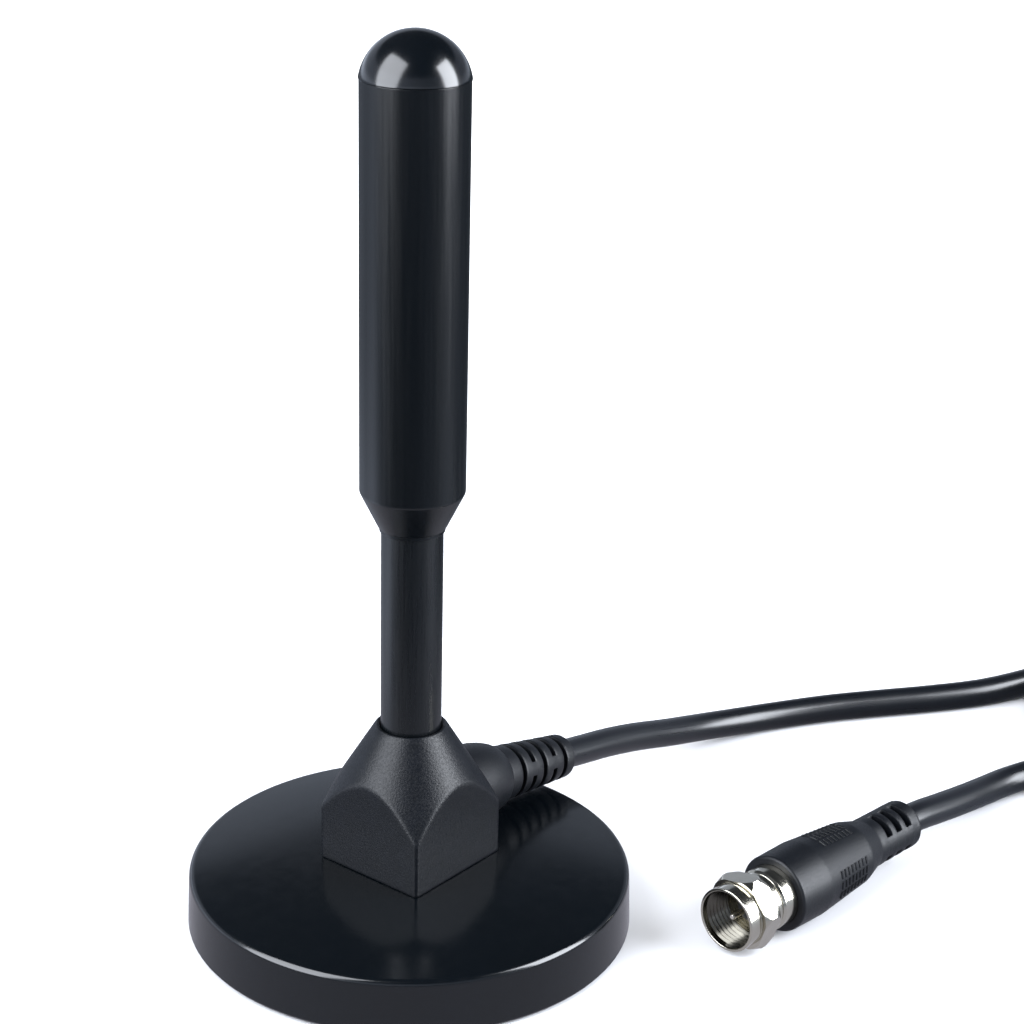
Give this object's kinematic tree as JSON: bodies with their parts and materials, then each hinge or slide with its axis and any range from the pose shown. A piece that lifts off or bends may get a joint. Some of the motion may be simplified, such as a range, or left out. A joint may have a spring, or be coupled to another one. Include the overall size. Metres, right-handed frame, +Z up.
{
  "type": "indoor television antenna",
  "caption": "Rod mast with a fat capped sleeve, screwed into a square socket on a round magnetic foot, with a coaxial lead, strain relief and male F plug.",
  "frame": {"origin": "centre of the round foot, on its underside", "axes": "+Z up along the mast, +X the way the lead leaves the socket"},
  "size_m": [0.2251, 0.1538, 0.1406],
  "materials": {
    "gloss_black_abs": "gloss",
    "matt_black_abs": "spark-eroded matt",
    "moulded_black_pvc": "satin",
    "black_pvc_sheath": "satin gloss",
    "nickel_plated_brass": "bright nickel",
    "brass": "turned",
    "sintered_ferrite": "ground",
    "zinc_plated_steel": "plated",
    "copper": "drawn",
    "white_polyethylene": "satin",
    "natural_nylon": "moulded",
    "grey_foam": "foam",
    "black_rubber": "matt",
    "black_tie": "satin"
  },
  "bodies": {
    "stand": {"foot_cover": "gloss_black_abs", "socket": "matt_black_abs", "cable_gland": "moulded_black_pvc", "plug_body": "moulded_black_pvc", "cable_tail": "black_pvc_sheath", "cable_run": "black_pvc_sheath", "cable_coil": "black_pvc_sheath", "plug_run": "black_pvc_sheath", "plug_tail": "black_pvc_sheath", "plug_ferrule": "nickel_plated_brass", "plug_post": "nickel_plated_brass", "threaded_insert": "brass", "contact_tag": "brass", "ring_magnet": "sintered_ferrite", "yoke_plate": "zinc_plated_steel", "socket_screws": "zinc_plated_steel", "anchor_ferrule": "zinc_plated_steel", "ground_lug": "zinc_plated_steel", "braid_tail": "copper", "core_wire": "copper", "centre_pin": "copper", "core_dielectric": "white_polyethylene", "plug_dielectric": "white_polyethylene", "foot_pad": "black_rubber", "coil_tie": "black_tie"},
    "seal": {"seal_ring": "black_rubber"},
    "mast": {"mast_stud": "brass", "stem": "gloss_black_abs", "radiator_rod": "brass", "stem_bush": "natural_nylon", "sleeve": "gloss_black_abs", "coil_former": "natural_nylon", "loading_coil": "copper", "upper_rod": "brass", "foam_plug": "grey_foam", "dome_cap": "gloss_black_abs"},
    "nut": {"coupling_nut": "nickel_plated_brass"}
  },
  "joints": [
    {"name": "mast_rise", "type": "slide", "parent": "stand", "child": "seal", "axis": [0, 0, 1], "range_m": [0, 0.009]},
    {"name": "mast_screw", "type": "hinge", "parent": "seal", "child": "mast", "pos_m": [0, 0, 0.034], "axis": [0, 0, 1], "range_deg": [0, 3240]},
    {"name": "nut_spin", "type": "hinge", "parent": "stand", "child": "nut", "pos_m": [0.0224, -0.0452, 0.0064], "axis": [-0.9945, 0.1045, 0], "continuous": true}
  ],
  "couplings": [
    {"joint": "mast_screw", "follows": "mast_rise", "rad_per_m": 6283.2}
  ]
}
